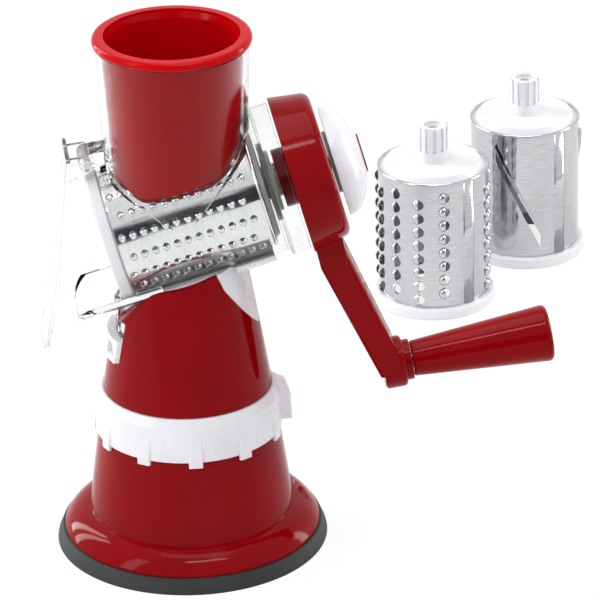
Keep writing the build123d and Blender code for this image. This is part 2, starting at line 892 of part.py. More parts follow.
def drum_cap():
    lid_end = drum_length + cap_lid_height
    end = lid_end + stub_length
    cap = disc(drum_radius - sheet_thickness, drum_length - cap_plug_depth, drum_length)
    cap += turned([
        (0, drum_length), (cap_lid_radius, drum_length), (cap_lid_top_radius, lid_end), (0, lid_end),
    ])
    cap += disc(stub_radius, lid_end, end)
    cap -= stub_grooves(0)
    cap -= disc(bolt_radius + running_gap, drum_length - cap_plug_depth - 1, end + 1)
    cap -= disc(stub_mouth_radius, end - stub_mouth_depth, end + 1)
    return cap


def in_machine(drum_piece):
    return drum_place * Pos(0, 0, drum_mouth_end) * drum_piece


# ---- crank

def hub():
    outer = turned([
        (0, hub_start), (hub_radius, hub_start), (hub_face_radius, hub_face), (0, hub_face),
    ])
    outer = fillet(outer.edges().filter_by(GeomType.CIRCLE).sort_by(Axis.Z)[-1:], hub_round)
    return outer


def hub_hollow():
    return turned([
        (0, hub_start - 1), (hub_radius - hub_wall, hub_start - 1),
        (hub_face_radius - hub_wall, hub_face - hub_wall), (0, hub_face - hub_wall),
    ])


grip_frame = Pos(-grip_centre_drop, 0, grip_centre_t) * Rot(0, -grip_cant, 0)


def arm():
    """The slanted arm between the hub and the grip's boss."""
    outline = [arm_back_start, arm_back_knee, (grip_centre_drop, arm_back_end),
               (grip_centre_drop, arm_front_end), arm_front_knee, arm_front_start]
    slab = side_prism([(-drop, place) for drop, place in outline], 3 * arm_half_width)
    root = -arm_back_start[0] / 2
    front = make_face(Polyline(
        (root, arm_half_width), (-grip_centre_drop, arm_end_half_width),
        (-grip_centre_drop, -arm_end_half_width), (root, -arm_half_width), close=True))
    slab = slab & extrude(front, 120)
    long_edges = slab.edges().filter_by(lambda edge: edge.length > 60)
    return fillet(long_edges, arm_round)


def arm_boss():
    boss = disc(arm_end_half_width, -boss_depth, 0)
    boss = fillet(boss.edges().filter_by(GeomType.CIRCLE), boss_round)
    boss += disc(arm_collar_radius, -arm_collar_root, arm_collar_height)
    return grip_frame * boss


def crank_arm():
    body = hub() + arm() + arm_boss()
    cup = hub_hollow() - disc(hub_boss_radius, hub_start + hub_boss_step, hub_face)
    body -= cup
    body -= disc(socket_radius, hub_start - cut_margin, socket_end)
    body -= disc(bolt_radius + bolt_hole_gap, socket_end - cut_margin, hub_face + cut_margin)
    hole_bottom = arm_collar_height - axle_screw_length - axle_screw_spare
    hole_top = arm_collar_height + cut_margin
    body -= grip_frame * disc(axle_screw_radius + screw_gap, hole_bottom, hole_top)
    return drum_place * body


def drive_socket():
    socket = disc(socket_radius, socket_start, socket_end)
    cavity = disc(stub_radius + screw_gap, socket_start - cut_margin, stub_end + screw_gap)
    keys = []
    for groove in stub_grooves(screw_gap):
        keys.append(Pos(0, 0, drum_mouth_end) * groove)
    key_zone = disc(stub_radius + 1, socket_start, stub_end)
    for key in keys:
        cavity -= key & key_zone
    socket -= cavity
    socket -= disc(bolt_radius + bolt_hole_gap, stub_end - cut_margin, socket_end + cut_margin)
    return drum_place * socket


def grip_axle():
    """A shouldered screw: thread in the arm, plain shank in the grip, head in its pocket."""
    shank_start = arm_collar_height
    head_z = arm_collar_height + grip_gap + grip_length - grip_pocket_depth + axle_head_play
    axle = disc(axle_screw_radius, shank_start - axle_screw_length, shank_start)
    axle += disc(grip_bore_radius - running_gap, shank_start, head_z)
    axle += disc(axle_head_radius, head_z, head_z + axle_head_height)
    slot_z = head_z + axle_head_height - axle_slot_depth
    slot = block((-10, -axle_slot_width / 2, slot_z), (10, axle_slot_width / 2, slot_z + 10))
    return drum_place * grip_frame * (axle - slot)


def grip():
    start = arm_collar_height + grip_gap
    end = start + grip_length
    body = turned([(0, start), (grip_start_radius, start), (grip_end_radius, end), (0, end)])
    body = fillet(body.edges().filter_by(GeomType.CIRCLE).sort_by(Axis.Z)[-1:], grip_round)
    body = fillet(body.edges().filter_by(GeomType.CIRCLE).sort_by(Axis.Z)[:1], grip_start_round)
    body -= disc(grip_bore_radius, start - 1, end)
    body -= disc(grip_pocket_radius, end - grip_pocket_depth, end + 1)
    return drum_place * grip_frame * body


def grip_plug():
    end = arm_collar_height + grip_gap + grip_length
    plug = disc(grip_pocket_radius, end - plug_thickness, end)
    plug = fillet(plug.edges().filter_by(GeomType.CIRCLE).sort_by(Axis.Z)[-1:], plug_round)
    return drum_place * grip_frame * plug


# ---- knob

def knob():
    edge = (knob_radius, knob_start + knob_edge)
    between = [(share * knob_radius, knob_end - depth) for share, depth in knob_dome]
    dome = Spline(edge, *between, (knob_disc_radius, knob_end), tangents=((-0.15, 1), (-1, 0.12)))
    face = make_face(Plane.XZ * (dome + Polyline(
        (knob_disc_radius, knob_end), (0, knob_end), (0, knob_start), (knob_radius, knob_start), edge)))
    body = revolve(face, Axis.Z)
    body += disc(knob_neck_radius, hub_face + knob_neck_gap, knob_start + 1)
    pocket = disc(knob_pocket_outer, knob_start - 1, knob_start + knob_pocket_depth)
    pocket -= disc(knob_pocket_inner, knob_start - 2, knob_start + knob_pocket_depth + 1)
    body -= pocket
    body -= disc(knob_disc_radius - knob_disc_step, knob_end - knob_disc_thickness, knob_end + 1)
    head_z = knob_end - knob_disc_thickness - bolt_head_height
    hexagon = Pos(0, 0, head_z) * extrude(RegularPolygon(bolt_head_radius, 6), bolt_head_height + 1)
    body -= hexagon
    body -= disc(bolt_radius, hub_face - 1, knob_end)
    return drum_place * body


def knob_bolt():
    head_z = knob_end - knob_disc_thickness - bolt_head_height
    bolt = Pos(0, 0, head_z) * extrude(RegularPolygon(bolt_head_radius, 6), bolt_head_height)
    bolt += disc(bolt_radius, stub_end - bolt_reach, head_z)
    return drum_place * bolt


def knob_disc():
    plate = disc(knob_disc_radius - knob_disc_step, knob_end - knob_disc_thickness, knob_end)
    plate += disc(knob_disc_radius, knob_end, knob_end + knob_disc_proud)
    return drum_place * plate


# ---- pusher

def pusher():
    rim_bottom = feed_top + rim_seat_gap
    rim_top = rim_bottom + rim_height
    top_radius = feed_top_radius - clear_wall - pusher_gap
    low_radius = top_radius - pusher_draft * (rim_bottom - pusher_low)
    body = turned([
        (0, pusher_low), (low_radius, pusher_low), (top_radius, rim_bottom), (0, rim_bottom),
    ])
    rim = disc(rim_radius, rim_bottom, rim_top)
    rim = fillet(rim.edges().filter_by(GeomType.CIRCLE), rim_height * 0.45)
    body += rim
    body = Pos(feed_centre, 0, 0) * body
    body &= drum_place * block((pusher_saddle_depth, -60, -100), (200, 60, 120))
    saddle = drum_radius + tooth_height + pusher_drum_gap
    body -= drum_place * disc(saddle, -100, 100)
    cup = Pos(feed_centre, 0, 0) * turned([
        (0, pusher_low), (low_radius - pusher_wall, pusher_low), (top_radius - pusher_wall, rim_bottom),
        (rim_opening, rim_top - rim_inner_drop), (rim_opening, rim_top + 1), (0, rim_top + 1),
    ])
    cup &= drum_place * block((pusher_saddle_depth + pusher_floor, -60, -100), (200, 60, 120))
    cup -= drum_place * disc(saddle + pusher_floor, -100, 100)
    return body - cup


def standing(drum_piece, place):
    return Pos(place[0], place[1], 0) * drum_piece


parts = {
    "suction_cup": suction_cup(),
    "base_shell": base_shell(),
    "base_screws": base_screws(),
    "lock_ring": lock_ring(),
    "suction_stem": suction_stem(),
    "stem_pin": stem_pin(),
    "tower_shell": tower_shell(),
    "barrel_cradle": barrel_cradle(),
    "cradle_screws": cradle_screws(),
    "release_button": release_button(),
    "barrel_housing": barrel_housing(),
    "drum_bush": drum_bush(),
    "guard_pin": guard_pin(),
    "splash_guard": splash_guard(),
    "drum_shell": in_machine(fine_sheet()),
    "drum_ring": in_machine(drum_ring()),
    "drum_cap": in_machine(drum_cap()),
    "crank_arm": crank_arm(),
    "drive_socket": drive_socket(),
    "grip_axle": grip_axle(),
    "grip": grip(),
    "grip_plug": grip_plug(),
    "knob": knob(),
    "knob_bolt": knob_bolt(),
    "knob_disc": knob_disc(),
    "pusher": pusher(),
    "coarse_shell": standing(coarse_sheet(), coarse_place),
    "coarse_ring": standing(drum_ring(), coarse_place),
    "coarse_cap": standing(drum_cap(), coarse_place),
    "slicer_shell": standing(slicer_sheet(), slicer_place),
    "slicer_ring": standing(drum_ring(), slicer_place),
    "slicer_cap": standing(drum_cap(), slicer_place),
}

os.makedirs("parts", exist_ok=True)
for name, piece in parts.items():
    export_step(piece, f"parts/{name}.step")
    print(name, "volume", round(piece.volume, 1))
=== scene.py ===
# %% [markdown]
# # A hand cranked drum shredder, dressed for its picture
#
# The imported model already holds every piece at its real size: foot, locking ring, tower,
# clear housing, drum, crank, knob, pusher and two spare drums. This script gives each piece
# the finish of the real one, adds the fine pressed work that is too small to be worth solid
# modelling, and lights it all like a plain catalogue picture. Metres throughout, +Z up.

# %% Loading the frame
import json
import math

import bmesh
import bpy
from mathutils import Matrix, Vector


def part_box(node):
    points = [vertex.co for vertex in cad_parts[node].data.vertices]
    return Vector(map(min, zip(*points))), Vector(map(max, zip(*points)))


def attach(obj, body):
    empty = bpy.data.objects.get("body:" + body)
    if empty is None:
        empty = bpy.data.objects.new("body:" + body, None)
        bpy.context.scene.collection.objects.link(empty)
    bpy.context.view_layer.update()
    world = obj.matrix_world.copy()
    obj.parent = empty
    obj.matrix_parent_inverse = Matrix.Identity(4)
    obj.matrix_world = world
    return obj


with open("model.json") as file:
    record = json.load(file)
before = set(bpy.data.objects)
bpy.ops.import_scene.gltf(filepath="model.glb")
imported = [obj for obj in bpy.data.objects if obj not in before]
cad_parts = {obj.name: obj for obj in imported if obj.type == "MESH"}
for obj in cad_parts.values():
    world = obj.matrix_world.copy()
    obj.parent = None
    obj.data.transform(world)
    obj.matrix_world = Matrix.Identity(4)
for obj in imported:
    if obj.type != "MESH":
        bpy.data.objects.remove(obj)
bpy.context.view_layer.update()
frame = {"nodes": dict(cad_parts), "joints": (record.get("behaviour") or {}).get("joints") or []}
mm = 0.001

# %% [markdown]
# ## Where the drums are
#
# The fitted drum is tilted, and the crank's joint carries its axis, so the place is read from
# the joint. The spare drums stand upright on their open ends, so the middle of a spare
# drum's ring and the table are enough. A drum is drawn once, upright, with its open end at
# zero, and a matrix takes it to each place: that way one design serves three drums.

# %% Drum places and sizes
crank_joint = next(joint for joint in frame["joints"] if joint["name"] == "crank_spin")
axis_point = Vector(crank_joint["pos_m"])
axis = Vector(crank_joint["axis"]).normalized()
axis_up = Vector((-axis.z, 0, axis.x))
axis_front = axis.cross(axis_up)
drum_turn = Matrix((axis_up, axis_front, axis)).transposed().to_4x4()


def along_axis(node):
    """Lowest and highest place of a node's points along the crank's axis."""
    mesh = frame["nodes"][node].data
    places = [(vertex.co - axis_point).dot(axis) for vertex in mesh.vertices]
    return min(places), max(places)


ring_start, ring_end = along_axis("drum_ring")
sheet_start, sheet_end = along_axis("drum_shell")
drum_length = sheet_end - ring_start
drum_matrix = Matrix.Translation(axis_point + axis * ring_start) @ drum_turn
ring_width = ring_end - ring_start
coarse_low, coarse_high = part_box("coarse_ring")
slicer_low, slicer_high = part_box("slicer_ring")
ring_radius = (coarse_high.x - coarse_low.x) / 2
cap_low, cap_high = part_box("coarse_cap")
shell_low, shell_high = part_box("coarse_shell")
drum_radius = (shell_high.x - shell_low.x) / 2


def standing_matrix(low, high):
    return Matrix.Translation(((low.x + high.x) / 2, (low.y + high.y) / 2, 0))


coarse_matrix = standing_matrix(coarse_low, coarse_high)
slicer_matrix = standing_matrix(slicer_low, slicer_high)
print("drum radius mm", round(drum_radius / mm, 2), "length mm", round(drum_length / mm, 2))

# %% [markdown]
# ## Tools for materials
#
# A material here is a small graph of nodes. Colours are written as the hex values that a
# painter or a web page would use, and those are sRGB, so one function turns them to the
# linear values that the shader expects. A second function adds any node with its settings,
# links and colour stops, which keeps every material readable as a list of steps.

# %% Colour and node helpers


def linear(hex_colour):
    """An sRGB hex colour as linear red, green, blue and full alpha."""
    channels = [int(hex_colour[i:i + 2], 16) / 255 for i in (0, 2, 4)]
    return tuple(c / 12.92 if c <= 0.04045 else ((c + 0.055) / 1.055) ** 2.4 for c in channels) + (1.0,)


def add(tree, kind, settings=None, inputs=None, stops=()):
    """Adds one node. An input's value may be a number, a colour or another node's output.

    Stops are the (place, hex colour) pairs of a colour ramp, from low to high.
    """
    made = tree.nodes.new(kind)
    for key, value in (settings or {}).items():
        setattr(made, key, value)
    for key, value in (inputs or {}).items():
        if isinstance(value, bpy.types.NodeSocket):
            tree.links.new(value, made.inputs[key])
        else:
            made.inputs[key].default_value = value
    for index, (place, colour) in enumerate(stops):
        elements = made.color_ramp.elements
        element = elements[index] if index < len(elements) else elements.new(place)
        element.position, element.color = place, linear(colour)
    return made


def new_material(name):
    """An empty node material, and its tree."""
    material = bpy.data.materials.new(name)
    material.use_nodes = True
    material.node_tree.nodes.clear()
    return material, material.node_tree


def per_metre(millimetres):
    """A noise scale whose features are about that many millimetres across."""
    return 1 / (millimetres * mm)


noise_low, noise_high = 0.3, 0.7     # most of a noise node's values lie between these
print("half grey is", round(linear("808080")[0], 3), "in linear light")

# %% [markdown]
# ## Moulded plastic
#
# The red shells and the white ring, knob and cradle are injection moulded ABS. Such a part
# comes out of a polished tool, so it is glossy, but its skin is never a perfect mirror: it
# sinks a little over ribs, which bends reflections, and handling leaves a haze of fine
# scuffs. Moulded edges are also never sharp. The Bevel node rounds the normal at each edge,
# which costs no geometry and catches a thin highlight, as on the real piece. Colour is nearly
# even, with slight cloudiness from the pigment.

# %% Moulded ABS
edge_round = 0.45 * mm
sink_size = 38.0                     # millimetres across, as are the next two
skin_size = 2.2
scuff_size = 0.7
sink_depth = 0.6 * mm
pore_depth = 0.2 * mm
sinks_over_pores = 5                 # how much stronger the sinks' bump is than the pores'


def moulded_plastic(name, deep, plain, gloss, scuffed, ior=1.53, shine=0.5, bump=0.02, glow=0.0):
    """Injection moulded ABS from a polished tool."""
    material, tree = new_material(name)
    place = add(tree, "ShaderNodeTexCoord").outputs["Object"]
    cloud = add(tree, "ShaderNodeTexNoise", inputs={
        "Vector": place, "Scale": per_metre(sink_size), "Detail": 3.0, "Roughness": 0.55})
    skin = add(tree, "ShaderNodeTexNoise", inputs={
        "Vector": place, "Scale": per_metre(skin_size), "Detail": 2.0})
    stretched = add(tree, "ShaderNodeMapping", inputs={"Vector": place, "Scale": (1.0, 1.0, 0.16)})
    scuffs = add(tree, "ShaderNodeTexNoise", inputs={
        "Vector": stretched.outputs["Vector"], "Scale": per_metre(scuff_size), "Detail": 4.0})
    handled = add(tree, "ShaderNodeMath", {"operation": "MULTIPLY"}, {
        0: cloud.outputs["Fac"], 1: scuffs.outputs["Fac"]})
    roughness = add(tree, "ShaderNodeMapRange", inputs={
        "Value": handled.outputs[0], "From Min": 0.12, "From Max": 0.42,
        "To Min": gloss, "To Max": scuffed})
    edge = add(tree, "ShaderNodeBevel", {"samples": 6}, {"Radius": edge_round})
    sinks = add(tree, "ShaderNodeBump", inputs={
        "Height": cloud.outputs["Fac"], "Strength": bump * sinks_over_pores, "Distance": sink_depth,
        "Normal": edge.outputs["Normal"]})
    pores = add(tree, "ShaderNodeBump", inputs={
        "Height": skin.outputs["Fac"], "Strength": bump, "Distance": pore_depth,
        "Normal": sinks.outputs["Normal"]})
    colour = add(tree, "ShaderNodeValToRGB", inputs={"Fac": cloud.outputs["Fac"]}, stops=[
        (noise_low, deep), (noise_high, plain)])
    shader = add(tree, "ShaderNodeBsdfPrincipled", inputs={
        "Base Color": colour.outputs["Color"],
        "Roughness": roughness.outputs["Result"], "IOR": ior, "Specular IOR Level": shine,
        "Normal": pores.outputs["Normal"],
        "Subsurface Weight": glow, "Subsurface Scale": 1.5 * mm,
        "Subsurface Radius": (1.0, 0.9, 0.8)})
    add(tree, "ShaderNodeOutputMaterial", inputs={"Surface": shader.outputs["BSDF"]})
    return material


# ABS in a deep red, from a polished tool: dark in shade, with hard bright highlights.
red_abs = moulded_plastic("red_abs_moulded_gloss", "820008", "8E020C", 0.05, 0.12, shine=0.08)
# The pusher is the same red ABS, with its colour painted lighter: painted light for the top light that
# fills its cup.
pusher_abs_painted_light = moulded_plastic("red_abs_pusher_painted_light", "B80008", "C2020C", 0.08, 0.18, shine=0.08)
# ABS in cool white, a satin tool finish: soft highlights, and light bleeds into its edges.
white_abs = moulded_plastic("white_abs_moulded_satin", "E4E3E8", "EDECF0", 0.22, 0.38, glow=0.08)
# Acetal, a waxier and greyer white, used where drum and crank rub.
acetal = moulded_plastic("white_acetal_bearing", "D9D8D4", "E2E1DC", 0.32, 0.45, ior=1.48, glow=0.12)
print("moulded finishes:", [finish.name for finish in (red_abs, pusher_abs_painted_light, white_abs, acetal)])

# %% [markdown]
# ## Clear plastic
#
# Housing and splash guard are styrene-acrylonitrile, a stiff clear plastic with the light
# bending of a dense glass. The walls are real double walls in the model, so the shader only
# has to refract. A faint flow bump from the mould makes reflections waver, and a very slight
# grey-green tint gathers where light passes a long way, as along the edges.

# %% Clear moulded plastic
flow_size = 24.0                     # millimetres across, as is the next
haze_size = 6.0
flow_depth = 0.6 * mm


def clear_plastic():
    """Clear styrene-acrylonitrile with the faint flow marks of its mould."""
    material, tree = new_material("clear_san_moulded")
    place = add(tree, "ShaderNodeTexCoord").outputs["Object"]
    flow_place = add(tree, "ShaderNodeMapping", inputs={"Vector": place, "Scale": (1.0, 1.0, 0.35)})
    flow = add(tree, "ShaderNodeTexNoise", inputs={
        "Vector": flow_place.outputs["Vector"], "Scale": per_metre(flow_size), "Detail": 2.0})
    haze = add(tree, "ShaderNodeTexNoise", inputs={
        "Vector": place, "Scale": per_metre(haze_size), "Detail": 4.0})
    edge = add(tree, "ShaderNodeBevel", {"samples": 4}, {"Radius": edge_round})
    bump = add(tree, "ShaderNodeBump", inputs={
        "Height": flow.outputs["Fac"], "Strength": 0.08, "Distance": flow_depth,
        "Normal": edge.outputs["Normal"]})
    colour = add(tree, "ShaderNodeValToRGB", inputs={"Fac": haze.outputs["Fac"]}, stops=[
        (noise_low, "F6F8F7"), (noise_high, "FCFDFD")])
    roughness = add(tree, "ShaderNodeMapRange", inputs={
        "Value": haze.outputs["Fac"], "From Min": noise_low, "From Max": noise_high,
        "To Min": 0.015, "To Max": 0.06})
    shader = add(tree, "ShaderNodeBsdfPrincipled", inputs={
        "Base Color": colour.outputs["Color"], "Roughness": roughness.outputs["Result"],
        "IOR": 1.57, "Specular Tint": linear("646666"), "Transmission Weight": 1.0,
        "Normal": bump.outputs["Normal"]})
    add(tree, "ShaderNodeOutputMaterial", inputs={"Surface": shader.outputs["BSDF"]})
    return material


clear_san = clear_plastic()
print(clear_san.name, len(clear_san.node_tree.nodes), "nodes")

# %% [markdown]
# ## Steel
#
# The drums are rolled from bright stainless sheet. Rolling leaves very fine lines along the
# sheet, which on a drum run round it, and bending the sheet leaves shallow flats along the
# axis that stretch reflections into upright streaks. Both patterns need the drum's own axis,
# so a Mapping node moves and turns the coordinates to each drum's place first. The spare
# drums are the same sheet, but their colour is painted a shade darker as painted shade, so
# that they stay readable before pure white. The screws are zinc plated, greyer and duller.

# %% Sheet steel and plated steel
line_size = 0.5                      # millimetres across, as are the next two
smudge_size = 14.0
frost_size = 0.8
line_turn = 0.0016                   # metres of pattern for a radian: lines run far round
flats_along = 5.0                    # how fast the flats change along the drum
flats_scale = 2.6                    # flats in a radian
flat_depth = 1.2 * mm
line_depth = 0.1 * mm
frost_depth = 0.1 * mm
screw_edge_round = 0.2 * mm


def drum_coordinates(tree, matrix):
    """Coordinates whose Z runs along a drum, with its middle at zero."""
    place = add(tree, "ShaderNodeTexCoord").outputs["Object"]
    moved = add(tree, "ShaderNodeVectorMath", {"operation": "SUBTRACT"}, {
        0: place, 1: tuple(matrix.translation)})
    turned = add(tree, "ShaderNodeMapping", {"vector_type": "POINT"}, {
        "Vector": moved.outputs[0], "Rotation": tuple(matrix.to_3x3().inverted().to_euler())})
    return turned.outputs["Vector"]


def rolled_steel(name, matrix, deep, plain):
    """Bright stainless sheet, rolled and bent into a drum."""
    material, tree = new_material(name)
    place = drum_coordinates(tree, matrix)
    parts = add(tree, "ShaderNodeSeparateXYZ", inputs={"Vector": place})
    angle = add(tree, "ShaderNodeMath", {"operation": "ARCTAN2"}, {
        0: parts.outputs["Y"], 1: parts.outputs["X"]})
    lines_place = add(tree, "ShaderNodeCombineXYZ", inputs={
        "X": parts.outputs["Z"], "Y": add(tree, "ShaderNodeMath", {"operation": "MULTIPLY"}, {
            0: angle.outputs[0], 1: line_turn}).outputs[0]})
    lines = add(tree, "ShaderNodeTexNoise", inputs={
        "Vector": lines_place.outputs["Vector"], "Scale": per_metre(line_size), "Detail": 4.0})
    flats_place = add(tree, "ShaderNodeCombineXYZ", inputs={
        "X": angle.outputs[0], "Y": add(tree, "ShaderNodeMath", {"operation": "MULTIPLY"}, {
            0: parts.outputs["Z"], 1: flats_along}).outputs[0]})
    flats = add(tree, "ShaderNodeTexNoise", inputs={
        "Vector": flats_place.outputs["Vector"], "Scale": flats_scale, "Detail": 2.0})
    smudge = add(tree, "ShaderNodeTexNoise", inputs={
        "Vector": place, "Scale": per_metre(smudge_size), "Detail": 3.0})
    bend = add(tree, "ShaderNodeBump", inputs={
        "Height": flats.outputs["Fac"], "Strength": 0.5, "Distance": flat_depth})
    grain = add(tree, "ShaderNodeBump", inputs={
        "Height": lines.outputs["Fac"], "Strength": 0.04, "Distance": line_depth,
        "Normal": bend.outputs["Normal"]})
    colour = add(tree, "ShaderNodeValToRGB", inputs={"Fac": lines.outputs["Fac"]}, stops=[
        (noise_low, deep), (noise_high, plain)])
    roughness = add(tree, "ShaderNodeMapRange", inputs={
        "Value": smudge.outputs["Fac"], "From Min": noise_low, "From Max": noise_high,
        "To Min": 0.08, "To Max": 0.16})
    shader = add(tree, "ShaderNodeBsdfPrincipled", inputs={
        "Base Color": colour.outputs["Color"], "Metallic": 1.0,
        "Roughness": roughness.outputs["Result"],
        "Normal": grain.outputs["Normal"]})
    add(tree, "ShaderNodeOutputMaterial", inputs={"Surface": shader.outputs["BSDF"]})
    return material


def plated_steel():
    """Zinc plate on a screw or a pin: a dull silver with a slight frost."""
    material, tree = new_material("steel_zinc_plated")
    place = add(tree, "ShaderNodeTexCoord").outputs["Object"]
    frost = add(tree, "ShaderNodeTexNoise", inputs={
        "Vector": place, "Scale": per_metre(frost_size), "Detail": 3.0})
    edge = add(tree, "ShaderNodeBevel", {"samples": 4}, {"Radius": screw_edge_round})
    bump = add(tree, "ShaderNodeBump", inputs={
        "Height": frost.outputs["Fac"], "Strength": 0.1, "Distance": frost_depth,
        "Normal": edge.outputs["Normal"]})
    colour = add(tree, "ShaderNodeValToRGB", inputs={"Fac": frost.outputs["Fac"]}, stops=[
        (noise_low, "A2A5A8"), (noise_high, "B8BBBE")])
    roughness = add(tree, "ShaderNodeMapRange", inputs={
        "Value": frost.outputs["Fac"], "From Min": noise_low, "From Max": noise_high,
        "To Min": 0.28, "To Max": 0.42})
    shader = add(tree, "ShaderNodeBsdfPrincipled", inputs={
        "Base Color": colour.outputs["Color"], "Metallic": 1.0,
        "Roughness": roughness.outputs["Result"],
        "Normal": bump.outputs["Normal"]})
    add(tree, "ShaderNodeOutputMaterial", inputs={"Surface": shader.outputs["BSDF"]})
    return material


machine_steel = rolled_steel("stainless_sheet_fitted_drum", drum_matrix, "E4E4E6", "F2F2F3")
# The spare drums' steel colour is painted darker than the fitted drum's: painted shade.
coarse_steel = rolled_steel("stainless_sheet_coarse_drum", coarse_matrix, "B8B8BC", "CECED1")
slicer_steel = rolled_steel("stainless_sheet_slicer_drum", slicer_matrix, "B8B8BC", "CECED1")
zinc_steel = plated_steel()
print("metals:", [finish.name for finish in (machine_steel, coarse_steel, slicer_steel, zinc_steel)])

# %% [markdown]
# ## Rubber
#
# The disc under the foot is nitrile rubber, matt and nearly black with a green-grey cast. Its
# edge picks up dust, which shows as a lighter bloom, and its surface has the fine tooth of a
# sand-blasted mould.

# %% Nitrile rubber
bloom_size = 17.0                    # millimetres across, as is the next
tooth_size = 0.6
tooth_depth = 0.15 * mm
rubber_edge_round = 0.6 * mm


def nitrile_rubber():
    """Matt dark rubber with a dusty bloom."""
    material, tree = new_material("nitrile_rubber_matt")
    place = add(tree, "ShaderNodeTexCoord").outputs["Object"]
    bloom = add(tree, "ShaderNodeTexNoise", inputs={
        "Vector": place, "Scale": per_metre(bloom_size), "Detail": 4.0, "Roughness": 0.6})
    tooth = add(tree, "ShaderNodeTexNoise", inputs={
        "Vector": place, "Scale": per_metre(tooth_size), "Detail": 2.0})
    edge = add(tree, "ShaderNodeBevel", {"samples": 4}, {"Radius": rubber_edge_round})
    bump = add(tree, "ShaderNodeBump", inputs={
        "Height": tooth.outputs["Fac"], "Strength": 0.25, "Distance": tooth_depth,
        "Normal": edge.outputs["Normal"]})
    colour = add(tree, "ShaderNodeValToRGB", inputs={"Fac": bloom.outputs["Fac"]}, stops=[
        (noise_low, "242827"), (noise_high, "323635")])
    roughness = add(tree, "ShaderNodeMapRange", inputs={
        "Value": bloom.outputs["Fac"], "From Min": noise_low, "From Max": noise_high,
        "To Min": 0.5, "To Max": 0.68})
    shader = add(tree, "ShaderNodeBsdfPrincipled", inputs={
        "Base Color": colour.outputs["Color"], "Roughness": roughness.outputs["Result"],
        "IOR": 1.52, "Specular IOR Level": 0.35, "Normal": bump.outputs["Normal"]})
    add(tree, "ShaderNodeOutputMaterial", inputs={"Surface": shader.outputs["BSDF"]})
    return material


rubber = nitrile_rubber()
print(rubber.name, len(rubber.node_tree.nodes), "nodes")

# %% [markdown]
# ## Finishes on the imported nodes
#
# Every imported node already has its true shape, so the node itself stays and only its finish
# changes. A table of finish to nodes is easier to check against the real object than thirty
# separate assignments.

# %% Giving each node its finish
finishes = {
    rubber: ["suction_cup"],
    red_abs: ["base_shell", "tower_shell", "crank_arm", "drive_socket", "grip", "grip_plug",
              "knob_disc"],
    pusher_abs_painted_light: ["pusher"],
    white_abs: ["lock_ring", "barrel_cradle", "release_button", "knob", "drum_ring", "drum_cap",
                "coarse_ring", "coarse_cap", "slicer_ring", "slicer_cap"],
    acetal: ["drum_bush", "guard_pin", "suction_stem"],
    clear_san: ["barrel_housing", "splash_guard"],
    zinc_steel: ["base_screws", "cradle_screws", "stem_pin", "grip_axle", "knob_bolt"],
    machine_steel: ["drum_shell"],
    coarse_steel: ["coarse_shell"],
    slicer_steel: ["slicer_shell"],
}


def paint(thing, material):
    """Fills every material slot of an object with one material."""
    if not thing.material_slots:
        thing.data.materials.append(material)
    for slot in thing.material_slots:
        slot.material = material


for material, names in finishes.items():
    for name in names:
        paint(frame["nodes"][name], material)
left_bare = set(frame["nodes"]) - {name for names in finishes.values() for name in names}
print("nodes without a finish:", sorted(left_bare))

# %% [markdown]
# ## Teeth punched in the drums
#
# A punch pushes a small hood of metal up behind each hole, and the hood's open mouth is the
# cutting edge. The same hood is needed a few hundred times, on a grid wrapped round a drum,
# which is what Geometry Nodes are good at: one light hood mesh, a set of points worked out
# from the drum's radius, pitch and angles, and an instance on each. The hood is a quarter of
# an ellipsoid with a real thickness, drawn on the X axis, where +X points out of the drum.

# %% One punched hood
weld_gap = 0.01 * mm
no_area = 1e-12                      # square metres: a face that has shrunk to a line


def new_piece(name, mesh_builder, material):
    """An object at the origin from a function that fills a bmesh."""
    mesh = bpy.data.meshes.new(name)
    made = bmesh.new()
    mesh_builder(made)
    bmesh.ops.recalc_face_normals(made, faces=made.faces)
    made.to_mesh(mesh)
    made.free()
    for polygon in mesh.polygons:
        polygon.use_smooth = True
    piece = bpy.data.objects.new(name, mesh)
    bpy.context.scene.collection.objects.link(piece)
    paint(piece, material)
    return piece


def hood_builder(half_width, length, height, wall, root, facing, arcs=5, steps=6):
    """A hood whose mouth faces +Y or -Y. Its foot is sunk a little, so that no gap shows."""
    def build(made):
        shells = []
        for inset in (0.0, wall):
            rows = []
            for arc in range(arcs + 1):
                share = math.pi / 2 * arc / arcs
                back = -(length - inset) * math.cos(share)
                row = []
                for step in range(steps + 1):
                    turn = math.pi * step / steps
                    side = (half_width - inset) * math.sin(share) * math.cos(turn)
                    out = (height - inset) * math.sin(share) * math.sin(turn)
                    row.append(made.verts.new((out - root, back * facing, side)))
                rows.append(row)
            shells.append(rows)
        outer, inner = shells
        for rows in shells:
            for first, second in zip(rows, rows[1:]):
                for step in range(steps):
                    made.faces.new((first[step], first[step + 1], second[step + 1], second[step]))
        for step in range(steps):
            made.faces.new((outer[-1][step], outer[-1][step + 1], inner[-1][step + 1], inner[-1][step]))
        for side in (0, steps):
            for arc in range(arcs):
                made.faces.new((outer[arc][side], outer[arc + 1][side],
                                inner[arc + 1][side], inner[arc][side]))
        bmesh.ops.remove_doubles(made, verts=made.verts, dist=weld_gap)
        flat = [face for face in made.faces if face.calc_area() < no_area]
        bmesh.ops.delete(made, geom=flat, context="FACES")
    return build


fine_hood = new_piece("fine_hood", hood_builder(
    half_width=1.9 * mm, length=2.9 * mm, height=1.3 * mm, wall=0.3 * mm, root=0.1 * mm,
    facing=-1), machine_steel)
coarse_hood = new_piece("coarse_hood", hood_builder(
    half_width=3.2 * mm, length=3.4 * mm, height=2.2 * mm, wall=0.45 * mm, root=0.1 * mm,
    facing=1, arcs=6, steps=8), coarse_steel)
print("faces of one hood:", len(fine_hood.data.polygons), len(coarse_hood.data.polygons))

# %% The tree that sets hoods on a drum


